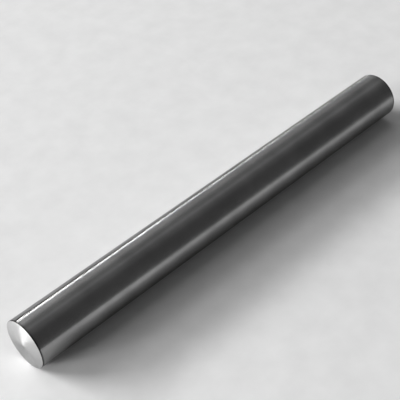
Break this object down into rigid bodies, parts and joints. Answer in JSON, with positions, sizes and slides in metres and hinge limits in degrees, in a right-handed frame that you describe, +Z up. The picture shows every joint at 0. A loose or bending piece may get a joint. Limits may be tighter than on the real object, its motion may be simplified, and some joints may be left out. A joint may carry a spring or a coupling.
{
  "type": "dowel pin",
  "caption": "Straight round steel pin with a slightly crowned end at each side, pressed into matching holes to line parts up.",
  "frame": {"origin": "on the pin's axis, halfway between its two ends", "axes": "X along the pin's axis, +Z up as the pin lies, Y across it"},
  "size_m": [0.0604, 0.006, 0.006],
  "materials": {
    "ground_steel": "bare steel, fine ground shank with lines running round it, turned and lightly polished ends, clean and without rust"
  },
  "bodies": {
    "root": {"pin": "ground_steel"}
  },
  "joints": []
}
